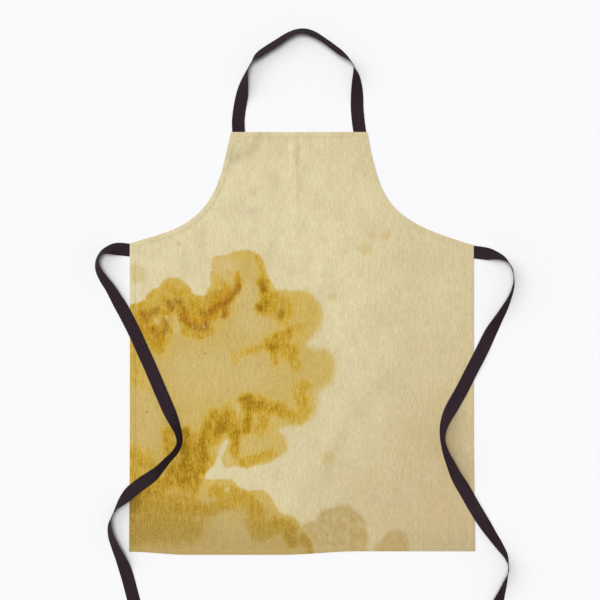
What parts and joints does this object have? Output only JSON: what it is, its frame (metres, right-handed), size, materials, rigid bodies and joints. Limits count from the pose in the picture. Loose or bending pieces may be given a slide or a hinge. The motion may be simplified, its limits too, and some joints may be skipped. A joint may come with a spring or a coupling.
{
  "type": "butcher apron",
  "caption": "Full-length bib apron of stained cream canvas with turned hems, a dark woven neck loop and two long side ties, laid out flat on its back.",
  "frame": {"origin": "underside of the bottom hem, half way along it and half way across its width", "axes": "+X to the right of a viewer who looks down on the front, +Y from the bottom hem towards the neck loop, +Z out of the front of the cloth"},
  "size_m": [0.8377, 1.2372, 0.0266],
  "materials": {
    "canvas": "matte cotton canvas with amber stains",
    "hem_canvas": "matte turned canvas",
    "tape": "matte woven twill tape",
    "cream_thread": "satin sewing thread",
    "dark_thread": "satin sewing thread"
  },
  "bodies": {
    "skirt": {"skirt_panel": "canvas", "bottom_hem": "hem_canvas", "left_side_hem": "hem_canvas", "right_side_hem": "hem_canvas", "left_tie_sewn_end": "tape", "right_tie_sewn_end": "tape", "bottom_hem_stitching": "cream_thread", "left_side_stitching": "cream_thread", "right_side_stitching": "cream_thread", "left_tie_bartack": "cream_thread", "right_tie_bartack": "cream_thread"},
    "bib": {"bib_panel": "canvas", "top_hem": "hem_canvas", "left_armhole_hem": "hem_canvas", "right_armhole_hem": "hem_canvas", "left_neck_strap_end": "tape", "right_neck_strap_end": "tape", "top_hem_stitching": "cream_thread", "left_armhole_stitching": "cream_thread", "right_armhole_stitching": "cream_thread", "left_neck_strap_bartack": "cream_thread", "right_neck_strap_bartack": "cream_thread"},
    "neck_loop": {"neck_strap_loop": "tape"},
    "left_tie": {"left_tie": "tape", "left_tie_turned_end": "tape", "left_tie_end_stitching": "dark_thread"},
    "right_tie": {"right_tie": "tape", "right_tie_turned_end": "tape", "right_tie_end_stitching": "dark_thread"}
  },
  "joints": [
    {"name": "bib_fold", "type": "hinge", "parent": "skirt", "child": "bib", "pos_m": [0, 0.60915, 0.00195], "axis": [1, 0, 0], "range_deg": [0, 120]},
    {"name": "neck_loop_swing", "type": "hinge", "parent": "bib", "child": "neck_loop", "pos_m": [0, 0.8371, 0.0017], "axis": [1, 0, 0], "range_deg": [0, 120]},
    {"name": "left_tie_swing", "type": "hinge", "parent": "skirt", "child": "left_tie", "pos_m": [-0.3433, 0.6084, 0.001], "axis": [-1, 0, 0], "range_deg": [0, 150]},
    {"name": "right_tie_swing", "type": "hinge", "parent": "skirt", "child": "right_tie", "pos_m": [0.3433, 0.6084, 0.001], "axis": [-1, 0, 0], "range_deg": [0, 150]}
  ]
}
